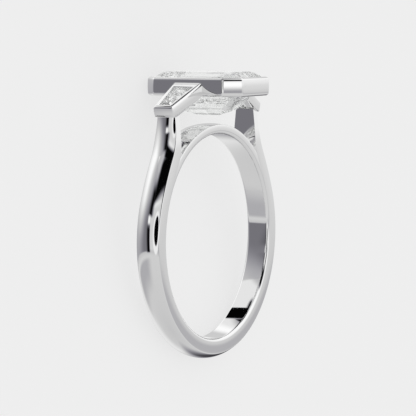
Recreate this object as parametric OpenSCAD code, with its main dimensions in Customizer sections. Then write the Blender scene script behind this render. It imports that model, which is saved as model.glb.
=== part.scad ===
// Three-stone engagement ring: a plain D-section band whose shoulders rise clear of the
// finger hole and carry a long emerald-cut stone between two tapered baguettes, all three
// in full bezels. Below the head a thin bridge closes the finger hole.
//
// Sizes are millimetres. Each part is drawn with the finger hole along y and the head
// towards +z, then laid down as the ring rests by itself: on one side face of the band
// and one short wall of the centre bezel, head towards +y.

/* [Band] */

// inside diameter, one that fits a slim ring finger
finger_d = 16.9; // [16.5:0.1:17.3]
// width of the band, measured along the finger
band_w = 2.1; // [1.9:0.05:2.4]
// thickness from the finger hole to the flat sides' outer edge
side_t = 1.25; // [1.2:0.05:1.35]
// height of the domed outside above the flat sides
dome_h = 0.4; // [0.3:0.05:0.5]
// rounding of the edges that touch the finger
comfort_r = 0.27; // [0.2:0.01:0.35]
// thickness of the bridge at the edges of the band
bridge_t = 0.75; // [0.6:0.05:0.9]
// rise of the bridge's upper face between its edges
bridge_crown = 0.14; // [0.1:0.01:0.2]

/* [Shoulders] */

// angle above the horizontal where a shoulder leaves the round of the band
leave_a = 32.52; // [32:0.01:34]
// radius of the hollow curve that turns a shoulder upright
flare_r = 8.73; // [8.4:0.01:9]
// distance from the middle of the ring to a shoulder's inner face
inner_face_x = 6.15; // [5.9:0.05:6.3]
// width of a shoulder where it meets the side bezel
shoulder_w = 1.66; // [1.5:0.02:1.8]
// height above the finger hole's centre where the shoulders begin to narrow
narrow_z = 7.95; // [7.6:0.05:8.4]

/* [Centre bezel] */

// outside length, along the finger
bezel_l = 9.02; // [8.6:0.02:9.4]
// outside width, shoulder to shoulder
bezel_w = 6.88; // [6.7:0.02:7.1]
// each of the four cut corners takes this much off both sides
corner_leg = 1.23; // [1:0.01:1.4]
// height of the bezel wall
bezel_h = 1.55; // [1.45:0.01:1.7]
// gap between the finger hole and the underside of the bezel
bezel_lift = 3.15; // [3:0.05:3.3]
// thickness of the wall below the stone
wall_t = 0.56; // [0.5:0.01:0.6]
// rounding of the bezel's lower outside edges
foot_r = 0.25; // [0.15:0.01:0.3]

/* [Side bezels] */

// length of a side bezel down its slope
side_l = 4.12; // [4:0.01:4.2]
// width at the end beside the centre stone
side_w1 = 2.74; // [2.6:0.02:2.9]
// width at the outer end
side_w2 = 1.8; // [1.76:0.02:2]
// fall of the rims towards the outside
side_a = 24.5; // [23:0.5:26]
// depth of a side bezel, square to its rim
side_d = 1.03; // [1:0.01:1.1]
// thickness of the rim around a side stone
side_rim = 0.42; // [0.38:0.01:0.44]

/* [Stones] */

// space left between a stone's girdle and the metal round it
seat_gap = 0.03; // [0.02:0.005:0.04]
// height of the centre stone's table above the rim
table_rise = 0.42; // [0.35:0.01:0.5]
// depth of the centre stone from its girdle to the keel
pavilion_h = 2.85; // [2.7:0.01:2.95]

/* [Hidden] */

$fn = 96;

finger_r = finger_d / 2;
edge_r = finger_r + side_t;
half_w = band_w / 2;
// the dome is one arc through the two flat sides' outer edges
dome_r = (half_w * half_w + dome_h * dome_h) / (2 * dome_h);
dome_c = edge_r + dome_h - dome_r;
// and so is the bridge's upper face
crown_r = (half_w * half_w + bridge_crown * bridge_crown) / (2 * bridge_crown);
crown_c = finger_r + bridge_t + bridge_crown - crown_r;

// middle of the shoulder's hollow curve, on the line through the ring's centre
flare_x = (edge_r + flare_r) * cos(leave_a);
flare_z = (edge_r + flare_r) * sin(leave_a);
// step left between soldered parts where their faces would fall together
hair = 0.01;

half_a = bezel_w / 2;
half_b = bezel_l / 2;
foot_z = finger_r + bezel_lift;
rim_z = foot_z + bezel_h;
// the stone's outline lies this far inside the bezel's outline
stone_in = 0.39;
girdle_z = rim_z - 0.3;
stone_a = half_a - stone_in;
keel_z = girdle_z - pavilion_h;

// the side bezels' wide end starts this far from the centre bezel's wall
side_x = half_a + 0.26;
side_z = rim_z - 0.55;
side_taper = (side_w1 - side_w2) / 2 / side_l;

// laid down, the band's far edge and the bezel's far foot touch the floor together
rest_run = foot_z + foot_r + edge_r;
rest_drop = half_b - foot_r - half_w;
rest_a = atan(rest_drop / rest_run) + asin(foot_r / norm([rest_run, rest_drop]));
rest_z = edge_r * sin(rest_a) + half_w * cos(rest_a);
table_z = rim_z + table_rise;
table_b = half_b - stone_in - 1.14;
y_high = table_z * cos(rest_a) + table_b * sin(rest_a);
y_low = dome_c * cos(rest_a) + dome_r;
rest_y = (y_low - y_high) / 2;

metal = [0.78, 0.79, 0.8];
stone = [0.9, 0.95, 0.97, 0.5];

// Lays a part down from the upright drawing position.
module placed() {
    translate([0, rest_y, rest_z])
        rotate([rest_a - 90, 0, 0])
            children();
}

// Flat-sided section from the finger hole outwards, with rounded inner edges. Its faces lie
// in by a hair where it passes through another part, so that no two faces fall together.
module inner_section(depth, hair) {
    r = finger_r + hair;
    w = half_w - hair;
    translate([r + comfort_r, -w])
        square([depth - comfort_r, 2 * w]);
    translate([r, comfort_r - w])
        square([2 * comfort_r, 2 * (w - comfort_r)]);
    for (s = [-1, 1])
        translate([r + comfort_r, s * (w - comfort_r)])
            circle(r = comfort_r);
}

// D-section of the band: flat sides, one domed arc outside.
module band_section() {
    intersection() {
        inner_section(side_t + dome_h + 0.5, 0);
        translate([dome_c, 0])
            circle(r = dome_r);
    }
}

// Section of the bridge, nearly flat on top.
module bridge_section() {
    intersection() {
        inner_section(bridge_t + 0.5, hair);
        translate([crown_c, 0])
            circle(r = crown_r);
    }
}

// Turns a section about the y axis, from one angle through a sweep, +x towards +z.
module turned(from, sweep) {
    rotate([90, 0, 0])
        rotate([0, 0, from])
            rotate_extrude(angle = sweep)
                children();
}

// The round of the band, up to where the shoulders leave it.
module band() {
    turned(180 - leave_a, 180 + 2 * leave_a)
        band_section();
}

// The thin arc that closes the finger hole under the head. It runs on inside the band.
module bridge() {
    turned(0, 360)
        bridge_section();
}

// The band's dome seen from the middle of the shoulder's hollow curve, with a deep flat
// tail that later cuts trim to the shoulder's inner face.
module shoulder_section() {
    crown = flare_r - dome_h;
    w = half_w - 2 * hair;
    translate([2 * hair, 0]) {
        intersection() {
            translate([crown, -w])
                square([dome_r, 2 * w]);
            translate([crown + dome_r, 0])
                circle(r = dome_r);
        }
        translate([crown + dome_r, -w])
            square([2, 2 * w]);
    }
}

// Side planes that narrow the shoulders towards the top, drawn looking along x.
module shoulder_taper() {
    slope = (half_w - shoulder_w / 2) / (10.2 - narrow_z);
    low = narrow_z - 0.3 / slope;
    top = foot_z;
    w = half_w - slope * (top - narrow_z);
    rotate([90, 0, 90])
        linear_extrude(height = 12)
            polygon([
                [-half_w - 0.3, 0],
                [half_w + 0.3, 0],
                [half_w + 0.3, low],
                [w, top],
                [-w, top],
                [-half_w - 0.3, low]
            ]);
}

// One cathedral shoulder, on the +x side: the band's section carried up the hollow curve
// into the side bezel. Its foot is rooted a little way inside the band.
module shoulder() {
    root_a = 1.3;
    difference() {
        intersection() {
            translate([flare_x, 0, flare_z])
                turned(177, leave_a + root_a + 3)
                    shoulder_section();
            shoulder_taper();
            translate([inner_face_x, -3, 0])
                cube([6, 6, 12]);
        }
        rotate([90, 0, 0])
            cylinder(r = finger_r + bridge_t / 2, h = 10, center = true);
    }
}

// Outline of the head, every side moved in by d. The cut corners move in with the sides.
function head_outline(d) =
    let (a = half_a - d, b = half_b - d, c = corner_leg - (2 - sqrt(2)) * d)
    [
        [a, c - b], [a, b - c], [a - c, b], [c - a, b],
        [-a, b - c], [-a, c - b], [c - a, -b], [a - c, -b]
    ];

// Upright section through one pair of bezel walls: rounded foot, broken upper edge.
module wall_profile(half) {
    rim_break = 0.09;
    polygon([
        [-half, foot_r],
        [half, foot_r],
        [half, bezel_h - rim_break],
        [half - rim_break, bezel_h],
        [rim_break - half, bezel_h],
        [-half, bezel_h - rim_break]
    ]);
    translate([foot_r - half, 0])
        square([2 * (half - foot_r), 2 * foot_r]);
    for (s = [-1, 1])
        translate([s * (half - foot_r), foot_r])
            circle(r = foot_r);
}

// Solid block between one pair of opposite bezel walls, turned about z.
module wall_pair(half, turn) {
    translate([0, 0, foot_z])
        rotate([90, 0, turn])
            linear_extrude(height = 14, center = true)
                wall_profile(half);
}

// Outside of the centre bezel, before the seat is cut.
module centre_block() {
    intersection() {
        wall_pair(half_a, 0);
        wall_pair(half_b, 90);
        wall_pair((half_a + half_b - corner_leg) / sqrt(2), 45);
        wall_pair((half_a + half_b - corner_leg) / sqrt(2), -45);
    }
}

// Room for the centre stone: open gallery, girdle groove and the opening in the lip.
module centre_seat() {
    translate([0, 0, foot_z - 1])
        linear_extrude(height = 4)
            polygon(head_outline(wall_t));
    translate([0, 0, girdle_z - 0.37])
        linear_extrude(height = 0.56)
            polygon(head_outline(stone_in - seat_gap));
    translate([0, 0, girdle_z])
        linear_extrude(height = 1)
            polygon(head_outline(stone_in + 0.07));
}

// Moves a part from a side bezel's own rim, x down the slope, to its place on the ring.
module on_slope() {
    translate([side_x, 0, side_z])
        rotate([0, side_a, 0])
            children();
}

// Half the width of a side bezel at x down its slope, moved in by d.
function side_half(x, d) = side_w1 / 2 - side_taper * x - d * sqrt(1 + side_taper * side_taper);

// Tapered outline of a side bezel, every side moved in by d.
function side_outline(d) =
    [
        [d, -side_half(d, d)],
        [side_l - d, -side_half(side_l - d, d)],
        [side_l - d, side_half(side_l - d, d)],
        [d, side_half(d, d)]
    ];

// Outside of a side bezel. Its wide end runs on into the centre bezel's wall.
module side_block() {
    end_r = 0.35;
    reach = -0.6;
    intersection() {
        on_slope()
            translate([0, 0, -2])
                linear_extrude(height = 3)
                    polygon([
                        [reach, -side_half(reach, 0)],
                        [side_l, -side_half(side_l, 0)],
                        [side_l, side_half(side_l, 0)],
                        [reach, side_half(reach, 0)]
                    ]);
        on_slope()
            rotate([90, 0, 0])
                linear_extrude(height = 4, center = true) {
                    translate([reach - 1, -side_d])
                        square([side_l - end_r - reach + 1, side_d]);
                    translate([side_l - 2 * end_r, end_r - side_d])
                        square([2 * end_r, side_d - end_r]);
                    translate([side_l - end_r, end_r - side_d])
                        circle(r = end_r);
                }
        translate([half_a - 0.24, -3, 0])
            cube([8, 6, 16]);
    }
}

// Room for a side stone, open below so that light reaches its back.
module side_seat() {
    on_slope() {
        translate([0, 0, -1.5])
            linear_extrude(height = 2)
                polygon(side_outline(side_rim + 0.24));
        translate([0, 0, -0.66])
            linear_extrude(height = 0.5)
                polygon(side_outline(side_rim - 0.04 - seat_gap));
        translate([0, 0, -0.3])
            linear_extrude(height = 1)
                polygon(side_outline(side_rim));
    }
}

// All the metal, soldered into one piece.
module mounting() {
    color(metal)
        placed() {
            band();
            bridge();
            for (m = [0, 1])
                mirror([m, 0, 0])
                    shoulder();
            difference() {
                union() {
                    centre_block();
                    for (m = [0, 1])
                        mirror([m, 0, 0])
                            side_block();
                }
                centre_seat();
                for (m = [0, 1])
                    mirror([m, 0, 0])
                        side_seat();
            }
        }
}

// Eight-sided step-cut stone. Each step is [how far in from the girdle, height above it].
module centre_stone() {
    steps = [
        [1.14, rim_z - girdle_z + table_rise],
        [0.72, 0.6],
        [0.33, 0.38],
        [0, 0.08],
        [0, 0],
        [0.42, -0.65],
        [1.25, -1.6],
        [2.2, -2.4]
    ];
    n = len(steps);
    keel = half_b - stone_in - stone_a;
    points = concat(
        [for (s = steps) for (p = head_outline(stone_in + s[0])) [p[0], p[1], girdle_z + s[1]]],
        [[0, keel, keel_z], [0, -keel, keel_z]]
    );
    last = 8 * (n - 1);
    kp = 8 * n;
    km = kp + 1;
    faces = concat(
        [[7, 6, 5, 4, 3, 2, 1, 0]],
        [
            for (i = [0 : n - 2]) for (j = [0 : 7])
                let (k = (j + 1) % 8)
                [8 * i + j, 8 * i + k, 8 * i + 8 + k, 8 * i + 8 + j]
        ],
        [
            [last, last + 1, kp, km],
            [last + 1, last + 2, kp],
            [last + 2, last + 3, kp],
            [last + 3, last + 4, kp],
            [last + 4, last + 5, km, kp],
            [last + 5, last + 6, km],
            [last + 6, last + 7, km],
            [last + 7, last, km]
        ]
    );
    color(stone)
        placed()
            polyhedron(points = points, faces = faces);
}

// Four-sided tapered step-cut stone, drawn on the +x side's slope.
module side_stone() {
    girdle_in = side_rim - 0.04;
    steps = [
        [0.32, 0.05],
        [0.14, -0.1],
        [0, -0.25],
        [0, -0.3],
        [0.22, -0.56],
        [0.44, -0.78]
    ];
    n = len(steps);
    keel_slope = 0.5;
    // where the two long facets meet at the wide and the narrow end
    wide = (side_w1 / 2) / (sqrt(1 + side_taper * side_taper) + side_taper);
    narrow = (side_w2 / 2) / (sqrt(1 + side_taper * side_taper) - side_taper);
    keel_in = girdle_in + steps[n - 1][0];
    points = concat(
        [for (s = steps) for (p = side_outline(girdle_in + s[0])) [p[0], p[1], s[1]]],
        [
            [wide, 0, steps[n - 1][1] - keel_slope * (wide - keel_in)],
            [side_l - narrow, 0, steps[n - 1][1] - keel_slope * (narrow - keel_in)]
        ]
    );
    last = 4 * (n - 1);
    kw = 4 * n;
    kn = kw + 1;
    faces = concat(
        [[3, 2, 1, 0]],
        [
            for (i = [0 : n - 2]) for (j = [0 : 3])
                let (k = (j + 1) % 4)
                [4 * i + j, 4 * i + k, 4 * i + 4 + k, 4 * i + 4 + j]
        ],
        [
            [last, last + 1, kn, kw],
            [last + 1, last + 2, kn],
            [last + 2, last + 3, kw, kn],
            [last + 3, last, kw]
        ]
    );
    on_slope()
        polyhedron(points = points, faces = faces);
}

module side_stone_right() {
    color(stone)
        placed()
            side_stone();
}

module side_stone_left() {
    color(stone)
        placed()
            mirror([1, 0, 0])
                side_stone();
}

mounting();
centre_stone();
side_stone_left();
side_stone_right();
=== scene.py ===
# %% [markdown]
# # A three-stone engagement ring
#
# The real ring is cast or hand-made in platinum: a plain band with a domed outside, two
# shoulders that rise clear of the finger, a thin bridge under the head, and three bezels
# soldered together. Each bezel is a wall of metal pushed over the edge of a step-cut stone.
#
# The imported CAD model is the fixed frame. It has the right sizes, but its curves are cut
# into flats, which stray from the true curve by up to 0.01 mm, and polished metal shows every
# one of them. So the metal is drawn again here from the same sizes, with finer curves and
# with the small soft edges that a polishing wheel leaves. The stones are flat-faceted by
# nature, and keep their facets.

# %% Load the frame
import math

import bmesh
import bpy
from mathutils import Matrix, Vector


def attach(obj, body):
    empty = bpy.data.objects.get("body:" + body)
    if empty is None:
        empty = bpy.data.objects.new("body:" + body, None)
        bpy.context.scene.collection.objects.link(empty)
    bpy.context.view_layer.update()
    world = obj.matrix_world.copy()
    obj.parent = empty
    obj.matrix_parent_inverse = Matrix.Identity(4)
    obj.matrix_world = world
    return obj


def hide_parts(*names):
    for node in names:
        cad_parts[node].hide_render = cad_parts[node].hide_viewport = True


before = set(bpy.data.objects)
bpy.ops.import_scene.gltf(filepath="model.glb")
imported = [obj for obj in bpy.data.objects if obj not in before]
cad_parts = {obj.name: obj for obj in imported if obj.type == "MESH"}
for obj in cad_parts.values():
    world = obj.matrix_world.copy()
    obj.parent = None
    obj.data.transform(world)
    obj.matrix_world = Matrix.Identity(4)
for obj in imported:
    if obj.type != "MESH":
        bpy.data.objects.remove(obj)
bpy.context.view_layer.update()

print("CAD nodes:", sorted(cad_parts))

# %% [markdown]
# ## Sizes
#
# A jeweller works from a few sizes: the finger size, the wire, and the stones. All of them
# are in millimetres here, drawn with the finger hole along y and the head towards +z. At
# the end each mesh is laid down as the ring rests by itself, and turned into metres.

# %% Sizes of the band and shoulders, in mm and degrees
FINGER_R = 8.45
SIDE_T = 1.25  # thickness at the band's two edges
DOME_H = 0.4  # how far the dome stands out beyond them
HALF_W = 1.05
COMFORT_R = 0.27
EDGE_R = FINGER_R + SIDE_T
DOME_R = (HALF_W**2 + DOME_H**2) / (2 * DOME_H)
LEAVE_A = 21.08  # the shoulder leaves the circle here
RISE_A, RISE_R = 30.1, 22.6  # first it follows a flatter arc,
BEND_A, BEND_R = 17.2, 5.03  # then it is bent back the other way,
TOP_A, TOP_R = -4.3, 6.73  # and on, in a wider arc, until it leans past upright
INNER_FACE_X = 6.15
ABOVE_BAND_Z = 5.3  # only above this height is the inner face filed flat
NARROW_Z = 7.95  # from here up the shoulder narrows,
SHOULDER_TOP_Z = 10.2  # and here it is SHOULDER_W wide
SHOULDER_W = 1.66

# %% Sizes of the bridge and the three bezels, in mm
BRIDGE_T = 0.75
BRIDGE_CROWN = 0.14
BRIDGE_FROM_A = 20  # degrees above the finger hole's middle, hidden in the band
BEZEL_A = 3.44  # half the width, across the finger's side
BEZEL_B = 4.51  # half the length, along the finger
CORNER_LEG = 1.23
FOOT_Z = 11.6
BEZEL_H = 1.55
RIM_Z = FOOT_Z + BEZEL_H
WALL_T = 0.56
FOOT_R = 0.25
STONE_IN = 0.39  # from the bezel's outline to the stone's
TABLE_IN = 1.14  # from the stone's outline to its table
TABLE_RISE = 0.42
SIDE_X = BEZEL_A + 0.26  # where the rim of a side bezel begins, at its high end
SIDE_Z = RIM_Z - 0.55
SIDE_L = 4.12
SIDE_W1, SIDE_W2 = 1.37, 0.9  # half widths at the wide and the narrow end
SIDE_A = math.radians(24.5)
SIDE_D = 1.03
SIDE_RIM = 0.42
print(f"head {RIM_Z:.2f} mm above the middle of the finger hole")

# %% [markdown]
# ## Laying the ring down
#
# The ring rests on one side of the band and on one short wall of the centre bezel, so it
# leans back by about nine degrees from lying flat. The angle follows from the height of
# the head and from how far the bezel stands out beyond the band.

# %% Where the ring lies
rest_run = FOOT_Z + FOOT_R + EDGE_R
rest_drop = BEZEL_B - FOOT_R - HALF_W
REST_A = math.atan2(rest_drop, rest_run) + math.asin(FOOT_R / math.hypot(rest_run, rest_drop))
REST_Z = EDGE_R * math.sin(REST_A) + HALF_W * math.cos(REST_A)
table_z = RIM_Z + TABLE_RISE
table_b = BEZEL_B - STONE_IN - TABLE_IN
y_high = table_z * math.cos(REST_A) + table_b * math.sin(REST_A)
y_low = (EDGE_R + DOME_H - DOME_R) * math.cos(REST_A) + DOME_R
REST_Y = (y_low - y_high) / 2
TURN = Matrix.Rotation(REST_A - math.pi / 2, 4, "X")
LAID = Matrix.Translation((0, REST_Y / 1000, REST_Z / 1000)) @ TURN @ Matrix.Scale(0.001, 4)
print(f"leans by {math.degrees(REST_A):.2f} degrees, hole's middle {REST_Z:.2f} mm up")

# %% [markdown]
# ## Materials
#
# One function turns a colour as a screen shows it into the linear numbers that Blender
# wants, and another adds a node with its settings and links. Patterns read Object
# coordinates, which are in metres, so a pattern's scale is one over its size in metres.

# %% Two helpers for materials
def colour(code):
    """The linear colour, with alpha, of an sRGB hex value."""
    parts = [int(code[i : i + 2], 16) / 255 for i in (1, 3, 5)]
    return [c / 12.92 if c <= 0.04045 else ((c + 0.055) / 1.055) ** 2.4 for c in parts] + [1]


def add(tree, kind, links=None, inputs=None, **settings):
    """Adds a node, sets its settings and input values, and links other nodes' outputs to it."""
    node = tree.nodes.new(kind)
    for key, value in settings.items():
        setattr(node, key, value)
    for key, value in (inputs or {}).items():
        node.inputs[key].default_value = value
    for key, source in (links or {}).items():
        tree.links.new(source, node.inputs[key])
    return node


def new_material(name):
    """An empty node material: the material, its tree and its surface socket."""
    material = bpy.data.materials.new(name)
    material.use_nodes = True
    material.node_tree.nodes.clear()
    output = material.node_tree.nodes.new("ShaderNodeOutputMaterial")
    return material, material.node_tree, output.inputs["Surface"]


# %% Polished platinum
POLISH_WAVE_MM = 1.6
HAIRLINE_MM = 0.06
HAIRLINE_DEPTH_M = 0.000002
platinum, tree, surface = new_material("mirror_polished_platinum")
where = add(tree, "ShaderNodeTexCoord")
haze = add(
    tree, "ShaderNodeTexNoise", {"Vector": where.outputs["Object"]},
    {"Scale": 1000 / POLISH_WAVE_MM, "Detail": 2.0},
)
hairs = add(
    tree, "ShaderNodeTexNoise", {"Vector": where.outputs["Object"]},
    {"Scale": 1000 / HAIRLINE_MM, "Detail": 3.0},
)
rough = add(
    tree, "ShaderNodeMapRange", {"Value": haze.outputs["Fac"]},
    {"From Min": 0.3, "From Max": 0.7, "To Min": 0.03, "To Max": 0.055},
)
relief = add(
    tree, "ShaderNodeBump", {"Height": hairs.outputs["Fac"]},
    {"Strength": 0.02, "Distance": HAIRLINE_DEPTH_M},
)
metal = add(
    tree, "ShaderNodeBsdfPrincipled",
    {"Roughness": rough.outputs["Result"], "Normal": relief.outputs["Normal"]},
    {"Base Color": colour("#F2F2F2"), "Metallic": 1.0},
)
tree.links.new(metal.outputs["BSDF"], surface)

# %% Cut and polished diamond
POLISH_PATCH_MM = 0.5
DIAMOND_IOR = 2.417
diamond, tree, surface = new_material("step_cut_diamond")
where = add(tree, "ShaderNodeTexCoord")
grain = add(
    tree, "ShaderNodeTexNoise", {"Vector": where.outputs["Object"]},
    {"Scale": 1000 / POLISH_PATCH_MM, "Detail": 1.0},
)
facet_polish = add(
    tree, "ShaderNodeMapRange", {"Value": grain.outputs["Fac"]},
    {"From Min": 0.3, "From Max": 0.7, "To Min": 0.0, "To Max": 0.012},
)
gem = add(
    tree, "ShaderNodeBsdfPrincipled", {"Roughness": facet_polish.outputs["Result"]},
    {"Base Color": colour("#FBFCFB"), "Transmission Weight": 1.0, "IOR": DIAMOND_IOR},
)
tree.links.new(gem.outputs["BSDF"], surface)
print("materials:", [m.name for m in bpy.data.materials])

# %% [markdown]
# ## Finishing a piece
#
# Every piece ends the same way. Its mesh is laid down with the ring, its normals are made
# to point outwards, and it rides on the ring's one body. Polished metal is shaded smooth,
# except where two faces meet at a real edge.

# %% The helper that finishes a piece
MERGE_MM = 1e-5
ON_PLANE_MM = 1e-6
REAL_EDGE_A = math.radians(30)
FLAT_WEIGHT = 80


def finish_piece(name, bm, node, material):
    """Makes the mesh a piece of the ring, in place of that CAD node."""
    bmesh.ops.remove_doubles(bm, verts=bm.verts, dist=MERGE_MM)
    bmesh.ops.transform(bm, matrix=LAID, verts=bm.verts)
    bmesh.ops.recalc_face_normals(bm, faces=bm.faces)
    open_edges = sum(1 for e in bm.edges if len(e.link_faces) != 2)
    mesh = bpy.data.meshes.new(name)
    bm.to_mesh(mesh)
    bm.free()
    mesh.polygons.foreach_set("use_smooth", [True] * len(mesh.polygons))
    mesh.set_sharp_from_angle(angle=REAL_EDGE_A)
    mesh.materials.append(material)
    piece = bpy.data.objects.new(name, mesh)
    bpy.context.scene.collection.objects.link(piece)
    flat = piece.modifiers.new("flat_faces_stay_flat", "WEIGHTED_NORMAL")
    flat.keep_sharp = True
    flat.weight = FLAT_WEIGHT
    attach(piece, "root")
    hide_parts(node)
    print(f"{name}: {len(mesh.polygons)} faces, {open_edges} open edges")


# %% [markdown]
# ## The band and its shoulders
#
# The real band is a length of D-shaped wire bent round a mandrel. Its two ends aren't
# closed into a circle: each is bent back the other way, so that it rises as a shoulder.
# One section is swept from the bottom of the band up to the top of one shoulder, and the
# other half is its mirror image. The sweep is four spins, each about its own middle: the
# circle, and then three arcs of the shoulder that meet smoothly. So the domed outside is
# unbroken, as it is on bent wire.

# %% The section of the band
EDGE_BREAK = 0.05


def section(bm, thick, crown_rise):
    """D-section at angle 0: x outwards from the finger, y along it. Returns its edges."""
    crown_radius = (HALF_W**2 + crown_rise**2) / (2 * crown_rise)
    middle = FINGER_R + thick + crown_rise - crown_radius
    half_arc = math.asin(HALF_W / crown_radius)
    start = bm.verts.new((FINGER_R + thick, -HALF_W, 0))
    arc = bmesh.ops.spin(
        bm, geom=[start], cent=(middle, 0, 0), axis=(0, 0, 1), angle=2 * half_arc,
        steps=24, use_merge=False, use_duplicate=False,
    )
    end = arc["geom_last"][0]
    inner = [bm.verts.new((FINGER_R, y, 0)) for y in (HALF_W, -HALF_W)]
    sides = [bm.edges.new(pair) for pair in ((end, inner[0]), inner, (inner[1], start))]
    bmesh.ops.bevel(
        bm, geom=inner, offset=COMFORT_R, offset_type="OFFSET", affect="VERTICES",
        segments=10, profile=0.5, material=-1, clamp_overlap=False,
    )
    bmesh.ops.bevel(
        bm, geom=[start, end], offset=EDGE_BREAK, offset_type="OFFSET", affect="VERTICES",
        segments=4, profile=0.5, material=-1, clamp_overlap=False,
    )
    return list(bm.edges)


def swept(bm, edges, middle, axis, degrees, steps):
    """Spins edges about a middle in the xz plane. Returns the edges of the last place."""
    made = bmesh.ops.spin(
        bm, geom=edges, cent=(middle[0], 0, middle[1]), axis=axis,
        angle=math.radians(degrees), steps=steps, use_merge=False, use_duplicate=False,
    )
    return [g for g in made["geom_last"] if isinstance(g, bmesh.types.BMEdge)]


# %% Half the band and one shoulder
def out(angle, length):
    """A step in the xz plane, at so many degrees above the x axis."""
    return Vector((length * math.cos(math.radians(angle)), length * math.sin(math.radians(angle))))


UP, DOWN = (0, -1, 0), (0, 1, 0)
rise_middle = out(LEAVE_A, EDGE_R - RISE_R)
bend_middle = rise_middle + out(RISE_A, RISE_R + BEND_R)
top_middle = bend_middle + out(BEND_A, TOP_R - BEND_R)
shank = bmesh.new()
wire = section(shank, SIDE_T, DOME_H)
bmesh.ops.rotate(
    shank, cent=(0, 0, 0), matrix=Matrix.Rotation(math.pi / 2, 3, "Y"), verts=shank.verts,
)
wire = swept(shank, wire, (0, 0), UP, 90 + LEAVE_A, 110)
wire = swept(shank, wire, rise_middle, UP, RISE_A - LEAVE_A, 24)
wire = swept(shank, wire, bend_middle, DOWN, RISE_A - BEND_A, 20)
wire = swept(shank, wire, top_middle, DOWN, BEND_A - TOP_A, 32)
bmesh.ops.contextual_create(shank, geom=wire)
print("half band and shoulder:", len(shank.faces), "faces")

# %% The shoulder narrows towards its top, and its inner face is filed flat
def dome_rise(y, half_width):
    """How far the dome stands out at y beyond its edges at half_width."""
    at_y = math.sqrt(DOME_R**2 - min(abs(y), half_width) ** 2)
    return at_y - math.sqrt(DOME_R**2 - half_width**2)


NARROW_BLEND = 0.8  # the narrowing starts softly, over this much to each side
narrowing = (HALF_W - SHOULDER_W / 2) / (SHOULDER_TOP_Z - NARROW_Z)
for v in shank.verts:
    beyond = v.co.z - NARROW_Z
    if beyond > -NARROW_BLEND:
        if beyond < NARROW_BLEND:
            beyond = (beyond + NARROW_BLEND) ** 2 / (4 * NARROW_BLEND)
        half_width = HALF_W - narrowing * beyond
        old_rise = dome_rise(v.co.y, HALF_W)
        v.co.y *= half_width / HALF_W
        v.co.x += dome_rise(v.co.y, half_width) - old_rise
upper = [f for f in shank.faces if f.calc_center_median().z > ABOVE_BAND_Z]
parts = set(upper) | {e for f in upper for e in f.edges} | {v for f in upper for v in f.verts}
cut = bmesh.ops.bisect_plane(
    shank, geom=list(parts), dist=ON_PLANE_MM, plane_co=(INNER_FACE_X, 0, 0),
    plane_no=(-1, 0, 0), clear_outer=True, clear_inner=False,
)
rim = [g for g in cut["geom_cut"] if isinstance(g, bmesh.types.BMEdge)]
bmesh.ops.contextual_create(shank, geom=rim)
print("filed face has", len(rim), "edges")

# %% The other half is its mirror image
bmesh.ops.mirror(
    shank, geom=shank.verts[:] + shank.edges[:] + shank.faces[:],
    matrix=Matrix.Identity(4), merge_dist=1e-4, axis="X",
)
finish_piece("band_and_shoulders", shank, "mounting", platinum)

# %% [markdown]
# ## The bridge
#
# Where the shoulders rise away from the finger, a thin curved strip is soldered in, so the
# ring stays round inside. It is the same kind of sweep with a thinner section. Its sides
# lie in by 0.003 mm, which nobody sees, because two faces in exactly one place fight each
# other in a render. A real solder joint has no sharp inner corner, so a small hollow
# fillet is drawn where the bridge meets each shoulder.

# %% The bridge
HIDDEN_STEP = 0.003
bridge = bmesh.new()
strip = section(bridge, BRIDGE_T, BRIDGE_CROWN)
bmesh.ops.scale(bridge, vec=(1, 1 - HIDDEN_STEP / HALF_W, 1), verts=bridge.verts)
bmesh.ops.translate(bridge, vec=(HIDDEN_STEP, 0, 0), verts=bridge.verts)
lift = Matrix.Rotation(math.radians(-BRIDGE_FROM_A), 3, "Y")
bmesh.ops.rotate(bridge, cent=(0, 0, 0), matrix=lift, verts=bridge.verts)
bmesh.ops.contextual_create(bridge, geom=strip)
strip = swept(bridge, strip, (0, 0), UP, 180 - 2 * BRIDGE_FROM_A, 124)
bmesh.ops.contextual_create(bridge, geom=strip)

# %% The solder fillets, one in each corner
FILLET_R = 0.2
BURIED = ((0.5, 0), (0.45, 0.75))  # two corners inside the shoulder: how far across, and down
bridge_top = FINGER_R + BRIDGE_T
mid_x = INNER_FACE_X - FILLET_R
mid_z = math.sqrt((bridge_top + FILLET_R) ** 2 - mid_x**2)
swing = 180 - math.degrees(math.atan2(mid_z, mid_x))
fillet = bmesh.new()
first = fillet.verts.new((INNER_FACE_X, HIDDEN_STEP * 2 - HALF_W, mid_z))
bmesh.ops.spin(
    fillet, geom=[first], cent=(mid_x, 0, mid_z), axis=DOWN, angle=math.radians(swing),
    steps=10, use_merge=False, use_duplicate=False,
)
ends = [v for v in fillet.verts if len(v.link_edges) == 1]
hidden = [
    fillet.verts.new((INNER_FACE_X + across, HIDDEN_STEP * 2 - HALF_W, mid_z - down))
    for across, down in BURIED
]
for pair in ((ends[0], hidden[0]), hidden, (hidden[1], ends[1])):
    fillet.edges.new(pair)
bmesh.ops.contextual_create(fillet, geom=fillet.edges[:])
depth = bmesh.ops.extrude_face_region(fillet, geom=fillet.faces[:])
bmesh.ops.translate(
    fillet, vec=(0, 2 * (HALF_W - 2 * HIDDEN_STEP), 0),
    verts=[g for g in depth["geom"] if isinstance(g, bmesh.types.BMVert)],
)
bmesh.ops.mirror(
    fillet, geom=fillet.verts[:] + fillet.edges[:] + fillet.faces[:],
    matrix=Matrix.Identity(4), merge_dist=0, axis="X",
)
finish_piece("solder_fillets", fillet, "mounting", platinum)
finish_piece("bridge", bridge, "mounting", platinum)

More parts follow.
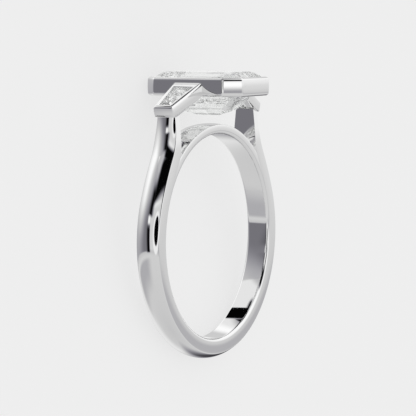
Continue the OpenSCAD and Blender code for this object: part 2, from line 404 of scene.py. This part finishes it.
# %% [markdown]
# ## The bezels
#
# A bezel is a strip of metal bent to the stone's outline, with a groove inside that holds
# the stone's widest line. Its wall has the same section all round. So the wall is made as
# a jeweller would draw it: a list of steps, each so far in from the outline and so high,
# and an edge loop is extruded from step to step until it comes back to where it began.

# %% A wall that follows an outline
def wall(bm, outline, steps):
    """Extrudes an outline's edge loop through [inset, height] steps, and closes it.

    Returns its rings of corners, one for each step."""
    rings = [[bm.verts.new((x, y, steps[0][1])) for x, y in outline(steps[0][0])]]
    loop = [bm.edges.new(pair) for pair in zip(rings[0], rings[0][1:] + rings[0][:1])]
    first = loop
    for inset, height in steps[1:]:
        made = bmesh.ops.extrude_edge_only(bm, edges=loop)["geom"]
        fresh = {g for g in made if isinstance(g, bmesh.types.BMVert)}
        loop = [g for g in made if isinstance(g, bmesh.types.BMEdge) and fresh.issuperset(g.verts)]
        ring = []
        for corner, (x, y) in zip(rings[-1], outline(inset)):
            nearby = (e.other_vert(corner) for e in corner.link_edges)
            v = next(far_end for far_end in nearby if far_end in fresh)
            v.co = (x, y, height)
            ring.append(v)
        rings.append(ring)
    bmesh.ops.bridge_loops(bm, edges=first + loop)
    return rings


def round_corners(bm, rings, offset):
    """Rounds the upright edges that run through these rings, as a file and a polisher do."""
    upright = [bm.edges.get(pair) for low, high in zip(rings, rings[1:]) for pair in zip(low, high)]
    bmesh.ops.bevel(
        bm, geom=upright, offset=offset, offset_type="OFFSET", affect="EDGES",
        segments=5, profile=0.5, material=-1, clamp_overlap=False,
    )


def arc(radius, inset, height, start, end, count):
    """[inset, height] steps on an arc. 0 degrees faces outwards, 90 up, 180 into the hole."""
    turns = [math.radians(start + (end - start) * k / count) for k in range(count + 1)]
    return [[inset - radius * math.cos(t), height + radius * math.sin(t)] for t in turns]


# %% [markdown]
# A bezel's outside isn't quite flat. Pushing the metal over the stone and polishing it
# leaves the wall a little crowned, by two hundredths of a millimetre. That is too little
# to see as a shape, but it is what draws the long soft gradient down each wall. The rim
# turns over in four arcs, tight and slack by turns, which draw its light and dark lines.

# %% The centre bezel
def head_outline(d):
    """The eight corners of the centre bezel, every side moved in by d."""
    a, b = BEZEL_A - d, BEZEL_B - d
    c = CORNER_LEG - (2 - math.sqrt(2)) * d
    return [
        (a, c - b), (a, b - c), (a - c, b), (c - a, b),
        (-a, b - c), (-a, c - b), (c - a, -b), (a - c, -b),
    ]


def crowned(low, high, swell, count):
    """[inset, height] steps up a wall that stands out by swell at its middle."""
    places = [k / count for k in range(1, count)]
    return [[swell * (2 * t - 1) ** 2, low + (high - low) * t] for t in places]


CREST_R, SLACK_R, RIM_R = 0.1, 0.5, 0.17
CREST_TO, RIM_FROM, RIM_TO, WALL_LEAN = 78, 58, 17, 4  # in degrees, as arc() counts them
SWELL = 0.02
LIP_ROUND = 0.05
LIP_IN, LIP_LOW = 0.46, 1.44  # the lip over the stone: how far in, and its underside
GROOVE_IN, GROOVE_LOW = 0.36, 0.88  # the groove round the girdle, and the seat under it
CORNER_ROUND = 0.11
centre = bmesh.new()
brow = arc(CREST_R, 0, BEZEL_H - CREST_R, 90, CREST_TO, 2)
for radius, start, end in (
    (SLACK_R, CREST_TO, RIM_FROM), (RIM_R, RIM_FROM, RIM_TO), (SLACK_R, RIM_TO, WALL_LEAN),
):
    bend = arc(radius, 0, 0, start, end, 6)
    across, down = (brow[-1][k] - bend[0][k] for k in (0, 1))
    brow += [[x + across, z + down] for x, z in bend[1:]]
brow = [[x - brow[-1][0] + SWELL, z] for x, z in reversed(brow)]
outside = (
    arc(FOOT_R, FOOT_R + SWELL, FOOT_R, -90, -WALL_LEAN, 7)
    + crowned(FOOT_R, brow[0][1], SWELL, 6)
    + brow
)
inside = arc(LIP_ROUND, LIP_IN - LIP_ROUND, BEZEL_H - LIP_ROUND, 90, 180, 3) + [
    [LIP_IN, LIP_LOW], [GROOVE_IN, LIP_LOW], [GROOVE_IN, GROOVE_LOW],
    [WALL_T, GROOVE_LOW], [WALL_T, 0],
]
rings = wall(centre, head_outline, outside + inside)
round_corners(centre, rings[: len(outside)], CORNER_ROUND)
bmesh.ops.translate(centre, vec=(0, 0, FOOT_Z), verts=centre.verts)
finish_piece("centre_bezel", centre, "mounting", platinum)


# %% A side bezel, drawn flat: x down its slope, 0 at its own rim
SIDE_TAPER = (SIDE_W1 - SIDE_W2) / SIDE_L
END_R = 0.35


def side_outline(d):
    """The four corners of a side bezel, every side moved in by d."""
    lean = d * math.sqrt(1 + SIDE_TAPER**2)
    wide, narrow = (SIDE_W1 - SIDE_TAPER * x - lean for x in (d, SIDE_L - d))
    return [(d, -wide), (SIDE_L - d, -narrow), (SIDE_L - d, narrow), (d, wide)]


SIDE_ROUND = 0.24
STRAIGHT_FOOT = 0.15
SIDE_LIP_T, SIDE_SEAT = 0.16, 0.66  # down from the rim
SIDE_GROOVE, SIDE_LEDGE = 0.07, 0.24  # out and in from the lip's edge
REACH = 0.6  # how far the walls run on, into the centre bezel
SIDE_CORNER_ROUND = 0.06
NEAR = 0.2  # an edge this close to the narrow end's corner is one of its edges
side = bmesh.new()
outside = [[0, -SIDE_D], [0, STRAIGHT_FOOT - SIDE_D]]
outside += crowned(-SIDE_D, -SIDE_ROUND, SWELL, 5)[1:]
outside += arc(SIDE_ROUND, SIDE_ROUND + SWELL, -SIDE_ROUND, 6, 90, 6)
inside = arc(LIP_ROUND, SIDE_RIM - LIP_ROUND, -LIP_ROUND, 90, 180, 3) + [
    [SIDE_RIM, -SIDE_LIP_T], [SIDE_RIM - SIDE_GROOVE, -SIDE_LIP_T],
    [SIDE_RIM - SIDE_GROOVE, -SIDE_SEAT], [SIDE_RIM + SIDE_LEDGE, -SIDE_SEAT],
    [SIDE_RIM + SIDE_LEDGE, -SIDE_D],
]
rings = wall(side, side_outline, outside + inside)
for ring in rings[: len(outside)]:
    for v in (ring[0], ring[3]):
        v.co.x -= REACH
        v.co.y += math.copysign(SIDE_TAPER * REACH, v.co.y)
end = side.edges.get(rings[0][1:3])
bmesh.ops.bevel(
    side, geom=[end], offset=END_R, offset_type="OFFSET", affect="EDGES",
    segments=8, profile=0.5, material=-1, clamp_overlap=False,
)
corners = [
    e for e in side.edges
    if e.calc_face_angle(0) > math.radians(60)
    and min(v.co.x for v in e.verts) > SIDE_L - END_R - NEAR
    and abs(e.verts[0].co.y) > SIDE_W2 - NEAR
    and e.verts[0].co.y * e.verts[1].co.y > 0
]
bmesh.ops.bevel(
    side, geom=corners, offset=SIDE_CORNER_ROUND, offset_type="OFFSET", affect="EDGES",
    segments=4, profile=0.5, material=-1, clamp_overlap=False,
)
print("side bezel:", len(side.faces), "faces,", len(corners), "corner edges rounded")

# %% Tilted into place, trimmed inside the centre bezel's wall, and mirrored
TRIM_IN = 0.24
bmesh.ops.rotate(side, cent=(0, 0, 0), matrix=Matrix.Rotation(SIDE_A, 3, "Y"), verts=side.verts)
bmesh.ops.translate(side, vec=(SIDE_X, 0, SIDE_Z), verts=side.verts)
cut = bmesh.ops.bisect_plane(
    side, geom=side.verts[:] + side.edges[:] + side.faces[:], dist=ON_PLANE_MM,
    plane_co=(BEZEL_A - TRIM_IN, 0, 0), plane_no=(-1, 0, 0), clear_outer=True, clear_inner=False,
)
rim = [g for g in cut["geom_cut"] if isinstance(g, bmesh.types.BMEdge)]
bmesh.ops.contextual_create(side, geom=rim)
other = side.copy()
bmesh.ops.scale(other, vec=(-1, 1, 1), verts=other.verts)
for name, bm in (("side_bezel_right", side), ("side_bezel_left", other)):
    finish_piece(name, bm, "mounting", platinum)

# %% [markdown]
# ## The stones
#
# A cut stone is nothing but flat facets, so the CAD model's own facets are right as they
# are. They stay, and only take the diamond's material.

# %% The stones take their material
for name in ("centre_stone", "side_stone_left", "side_stone_right"):
    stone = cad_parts[name]
    stone.data.materials.clear()
    stone.data.materials.append(diamond)
    print(name, len(stone.data.polygons), "triangles")

# %% [markdown]
# ## The studio
#
# Polished metal has no look of its own: it shows the room. A jewellery photographer puts
# the ring in a white tent, and hangs a few dark cards, which draw the black lines that
# make metal look like metal. The room here is a world shader. The floor is plain and pale.

# %% The floor, with a painted glow, as paper on a light table has, which keeps the ring's shadow on it faint
FIBRE_MM = 0.8
FLOOR_GREY = 0.16
# painted light: the floor shines by itself, so the ring's shadow and shade on it stay faint
FLOOR_PAINTED_GLOW = 0.702
paper, tree, surface = new_material("pale_paper")
where = add(tree, "ShaderNodeTexCoord")
fibre = add(
    tree, "ShaderNodeTexNoise", {"Vector": where.outputs["Object"]},
    {"Scale": 1000 / FIBRE_MM, "Detail": 4.0},
)
matt = add(
    tree, "ShaderNodeMapRange", {"Value": fibre.outputs["Fac"]},
    {"To Min": 0.85, "To Max": 0.95},
)
sheet = add(
    tree, "ShaderNodeBsdfPrincipled", {"Roughness": matt.outputs["Result"]},
    {
        "Base Color": [FLOOR_GREY] * 3 + [1], "Specular IOR Level": 0.0,
        "Emission Color": [1, 1, 1, 1], "Emission Strength": FLOOR_PAINTED_GLOW,
    },
)
tree.links.new(sheet.outputs["BSDF"], surface)
bm = bmesh.new()
bmesh.ops.create_circle(bm, cap_ends=True, radius=3.0, segments=64)
mesh = bpy.data.meshes.new("floor")
bm.to_mesh(mesh)
bm.free()
mesh.materials.append(paper)
floor = bpy.data.objects.new("floor", mesh)
bpy.context.scene.collection.objects.link(floor)
floor.visible_glossy = False

# %% [markdown]
# ## The room that the metal shows
#
# The room is drawn by bearing and height in degrees, turned with the ring, so that bearings
# keep their meaning while the ring lies down. Bearing 0 is along x and 90 along the finger.
# A card overhead is drawn on a flat ceiling instead, by x and y, because its straight edges
# then stay straight.
#
# The room is a white tent over a light grey table. Cards are laid over it one by one: light
# and shade on the table, a grey wall, which makes the long bezel wall read dark, the black
# lens in its bright ring, upright black cards beside it, and black cards under the ceiling.
# A level is the screen grey that the metal then shows.

# %% Bearing and height of every direction
SEAM = 120  # bearings run from 180 degrees below this to 180 above it
world = bpy.data.worlds.new("studio")
bpy.context.scene.world = world
world.use_nodes = True
tree = world.node_tree
tree.nodes.clear()
look = add(tree, "ShaderNodeTexCoord")
turned = add(
    tree, "ShaderNodeMapping", {"Vector": look.outputs["Generated"]},
    {"Rotation": (math.pi / 2 - REST_A, 0, -math.radians(SEAM))},
)
split = add(tree, "ShaderNodeSeparateXYZ", {"Vector": turned.outputs["Vector"]})


def sum_up(kind, first, second, third=0.0):
    """One sum: each term is a number or a node's output."""
    node = add(tree, "ShaderNodeMath", operation=kind)
    for socket, term in zip(node.inputs, (first, second, third)):
        if isinstance(term, (int, float)):
            socket.default_value = term
        else:
            tree.links.new(term, socket)
    return node.outputs[0]


angle = sum_up("ARCTAN2", split.outputs["Y"], split.outputs["X"])
bearing = sum_up("MULTIPLY_ADD", angle, 180 / math.pi, float(SEAM))
rise = sum_up("ARCSINE", split.outputs["Z"], 0.0)
height = sum_up("MULTIPLY", rise, 180 / math.pi)

# %% Where a direction meets the flat ceiling, one unit above the ring
up = sum_up("MAXIMUM", split.outputs["Z"], 0.001)
reach = sum_up("DIVIDE", sum_up("COSINE", rise, 0.0), up)
turn = sum_up("RADIANS", bearing, 0.0)
ceiling_x = sum_up("MULTIPLY", reach, sum_up("COSINE", turn, 0.0))
ceiling_y = sum_up("MULTIPLY", reach, sum_up("SINE", turn, 0.0))


# %% Soft-edged cards
METAL_SHOWS = colour("#F2F2F2")[0]


def tone(level):
    """The light that polished platinum shows as this screen grey, 0 to 255."""
    return colour("#%02X%02X%02X" % ((level,) * 3))[0] / METAL_SHOWS


def step(value, start, end):
    """0 before start, 1 after end, and soft between them. It falls where end is first."""
    low, high, rising = min(start, end), max(start, end), start < end
    node = add(
        tree, "ShaderNodeMapRange", {"Value": value},
        {"From Min": low, "From Max": high, "To Min": float(not rising), "To Max": float(rising)},
        interpolation_type="SMOOTHSTEP",
    )
    return node.outputs["Result"]


def hung(light, level, *sides):
    """Lays a card over the light so far. Each side is a measure, where it begins and is full."""
    mask = step(*sides[0])
    for side in sides[1:]:
        mask = sum_up("MULTIPLY", mask, step(*side))
    keep = sum_up("SUBTRACT", 1.0, mask)
    return sum_up("MULTIPLY_ADD", light, keep, sum_up("MULTIPLY", mask, tone(level)))


def within(left, right, bottom, top):
    """The four sides of a card by bearing and height. Each is a pair: begins, is full."""
    return (bearing, *left), (bearing, *right), (height, *bottom), (height, *top)


def disc(middle, size):
    """How far a direction is from the middle of a round card, as a share of its size."""
    off_x = sum_up("MULTIPLY_ADD", bearing, 1 / size, -middle[0] / size)
    off_y = sum_up("MULTIPLY_ADD", height, 1 / size, -middle[1] / size)
    return sum_up("MULTIPLY_ADD", off_x, off_x, sum_up("MULTIPLY", off_y, off_y))


# %% The tent, brightest half way up, and dimmer behind the lens
LEVELS = [
    (-90, 194), (-60, 200), (-14, 205), (-11, 193), (-8, 187), (-5, 202), (-3, 211), (-1, 215),
    (2, 234), (12, 240), (26, 251), (58, 251), (68, 237), (78, 208), (90, 158),
]
light = add(tree, "ShaderNodeValToRGB", {"Fac": sum_up("MULTIPLY_ADD", height, 1 / 180, 0.5)})
stops = light.color_ramp.elements
while len(stops) < len(LEVELS):
    stops.new(0.5)
for stop, (at, level) in zip(stops, LEVELS):
    stop.position = at / 180 + 0.5
    stop.color = [tone(level)] * 3 + [1]
light = light.outputs["Color"]
light = hung(light, 228, *within((18, 30), (160, 140), (38, 47), (74, 66)))
light = hung(light, 184, *within((134, 142), (280, 205), (34, 46), (88, 70)))

# %% Light and shade on the table
light = hung(light, 225, *within((24, 40), (112, 60), (-62, -32), (-12, -17)))
light = hung(light, 171, *within((66, 95), (190, 150), (-50, -26), (-14.5, -18.5)))
light = hung(light, 60, *within((-14, 14), (40, 20), (-80, -34), (-10, -16)))
light = hung(light, 175, *within((-46, -36), (-14, -22), (-12, -9.5), (-5.4, -7.4)))

# %% The grey wall that the long bezel wall shows
slant = sum_up("MULTIPLY_ADD", height, -0.2, bearing)
light = hung(light, 163, *within((36, 50), (190, 176), (-11, -9.5), (26, -10)))
light = hung(
    light, 115, (slant, 96, 148), (bearing, 182, 172), (height, -11, -9.5), (height, 46, 43),
)
light = hung(light, 190, *within((110, 128), (182, 172), (8, 66), (45.5, 43.4)))
light = hung(light, 200, *within((-14, 4), (50, 36), (5, 11), (36, 25)))

# %% The lit side of the tent round the lens
light = hung(light, 207, *within((172, 179), (264, 244), (-11, -8), (36, 24)))

# %% Beside the lens a bright gap, with a black card over it
light = hung(light, 152, *within((228, 234), (256, 248), (-13, -9), (15, 11)))
light = hung(light, 255, *within((228, 234), (256, 248), (-8, 2), (12, 4)))
light = hung(light, 8, *within((231, 236), (258, 252), (9.5, 12.5), (34, 28)))

# %% The black lens in its bright ring
light = hung(light, 234, (disc((212, 5), 18), 1.1, 0.85))
light = hung(light, 2, (disc((213.8, 6.5), 12.3), 1.13, 0.84))

# %% Upright black cards, one low and one high, with a bright gap between them
lean = sum_up("MULTIPLY_ADD", height, 0.2, bearing)
light = hung(light, 6, (lean, 152, 165), (lean, 180, 173), (height, -12, -10.5), (height, 14, 8))
light = hung(light, 8, *within((146, 169), (194, 175), (17.5, 21.5), (44, 37)))
light = hung(light, 240, *within((157, 163), (178, 170), (11, 15), (22, 18)))

# %% The long black card overhead, with slanting edges
near_edge = sum_up("MULTIPLY_ADD", ceiling_y, 0.33, ceiling_x)
far_edge = sum_up("MULTIPLY_ADD", ceiling_y, 0.5, ceiling_x)
light = hung(
    light, 4, (near_edge, -0.6, -0.86), (far_edge, -1.98, -1.48), (ceiling_y, -4.2, -1.9),
    (bearing, 164, 183), (bearing, 284, 266),
)

# %% Straight overhead a grey card, and a black one over its edge
light = hung(
    light, 122, (ceiling_x, 0.18, 0.36), (ceiling_x, 1.3, 0.5), (ceiling_y, 0.0, 0.2),
    (ceiling_y, 0.66, 0.5), (height, 5, 30),
)
light = hung(
    light, 10, (ceiling_x, -0.3, -0.12), (ceiling_x, 0.3, 0.12), (ceiling_y, 0.14, 0.26),
    (ceiling_y, 0.508, 0.482), (height, 5, 30),
)

# %% The long card's tail, beyond the lens
tail_edge = sum_up("MULTIPLY_ADD", ceiling_y, 0.63, ceiling_x)
light = hung(
    light, 30, (tail_edge, -0.9, -1.2), (bearing, 232, 246), (bearing, 284, 266),
    (height, 15, 27),
)

# %% Two narrow black cards, which the inside of the band shows
strip_side = sum_up("MULTIPLY_ADD", ceiling_y, -0.61, ceiling_x)
strip_end = sum_up("MULTIPLY_ADD", ceiling_y, 1.63, ceiling_x)
light = hung(
    light, 4, (strip_side, 0.03, 0.07), (strip_side, 0.48, 0.41), (strip_end, -0.45, -0.1),
    (strip_end, 1.4, 1.33), (height, 5, 30),
)
window_head = sum_up("MULTIPLY_ADD", height, -0.92, bearing)
light = hung(
    light, 4, (window_head, 30, 28.4), (bearing, 55.5, 58), (ceiling_x, 0.56, 0.48),
    (ceiling_y, 1.3, 1.18), (height, 5, 30),
)
print("studio:", len(tree.nodes), "nodes")

# %% [markdown]
# The cards are there for the mirrors only. Soft light on the floor comes from an even tent,
# so that the cards throw no blotches there. Rays that leave a stone see a quarter of the
# even tent, and they bounce often before that, as in a real diamond. The darkest cards look
# slightly violet, as black cloth does beside white paper.

# %% Diffuse rays see an even tent, and the lens sees plain paper
PAPER = colour("#EFEFEF")
VIOLET = [1.0, 0.98, 1.1, 1]
EVEN_IN_STONES = 0.25
STONE_BOUNCES = 32
paths = add(tree, "ShaderNodeLightPath")
tinted = add(
    tree, "ShaderNodeMixRGB", {"Fac": step(light, 0.7, 0.1), "Color1": light},
    {"Color2": VIOLET}, blend_type="MULTIPLY",
)
mirrored = add(tree, "ShaderNodeBackground", {"Color": tinted.outputs["Color"]})
even = add(tree, "ShaderNodeBackground", inputs={"Color": [1, 1, 1, 1], "Strength": 1.0})
plain = add(tree, "ShaderNodeBackground", inputs={"Color": PAPER, "Strength": 1.0})
in_stones = sum_up("MULTIPLY", paths.outputs["Is Transmission Ray"], EVEN_IN_STONES)
even_share = sum_up("MAXIMUM", paths.outputs["Is Diffuse Ray"], in_stones)
soft_light = add(
    tree, "ShaderNodeMixShader",
    {0: even_share, 1: mirrored.outputs[0], 2: even.outputs[0]},
)
seen_by_lens = add(
    tree, "ShaderNodeMixShader",
    {0: paths.outputs["Is Camera Ray"], 1: soft_light.outputs[0], 2: plain.outputs[0]},
)
add(tree, "ShaderNodeOutputWorld", {"Surface": seen_by_lens.outputs[0]})
bpy.context.scene.view_settings.view_transform = "Standard"
rays = bpy.context.scene.cycles
rays.max_bounces = rays.transmission_bounces = rays.glossy_bounces = STONE_BOUNCES

# %% [markdown]
# ## The camera
#
# The camera is placed as the photograph saw the ring: a long lens a quarter of a metre
# away, a little above the stones' widest line, and to the side. It is laid down with the
# ring, so it ends up about thirty degrees above the floor.

# %% The camera
AIM_A, AIM_E = math.radians(-60.2), math.radians(4.2)
DISTANCE = 250.0
FOCAL_PX, IMAGE_PX, SENSOR_MM = 3030, 416, 36.0
AIM_Z, AIM_LEFT = 2.30, 0.02
sideways = math.cos(AIM_E)
back = Vector((math.sin(AIM_A) * sideways, -math.cos(AIM_A) * sideways, math.sin(AIM_E)))
right = Vector((math.cos(AIM_A), math.sin(AIM_A), 0))
above = back.cross(right)
target = Vector((0, 0, AIM_Z)) - AIM_LEFT * right
axes = Matrix((right, above, back)).transposed().to_4x4()
lens = bpy.data.cameras.new("camera")
lens.sensor_width = SENSOR_MM
lens.lens = SENSOR_MM * FOCAL_PX / IMAGE_PX
lens.clip_start, lens.clip_end = 0.01, 20
camera = bpy.data.objects.new("camera", lens)
bpy.context.scene.collection.objects.link(camera)
camera.matrix_world = Matrix.Translation(LAID @ (target + DISTANCE * back)) @ TURN @ axes
bpy.context.scene.camera = camera
print("camera at", [round(c, 4) for c in camera.location])
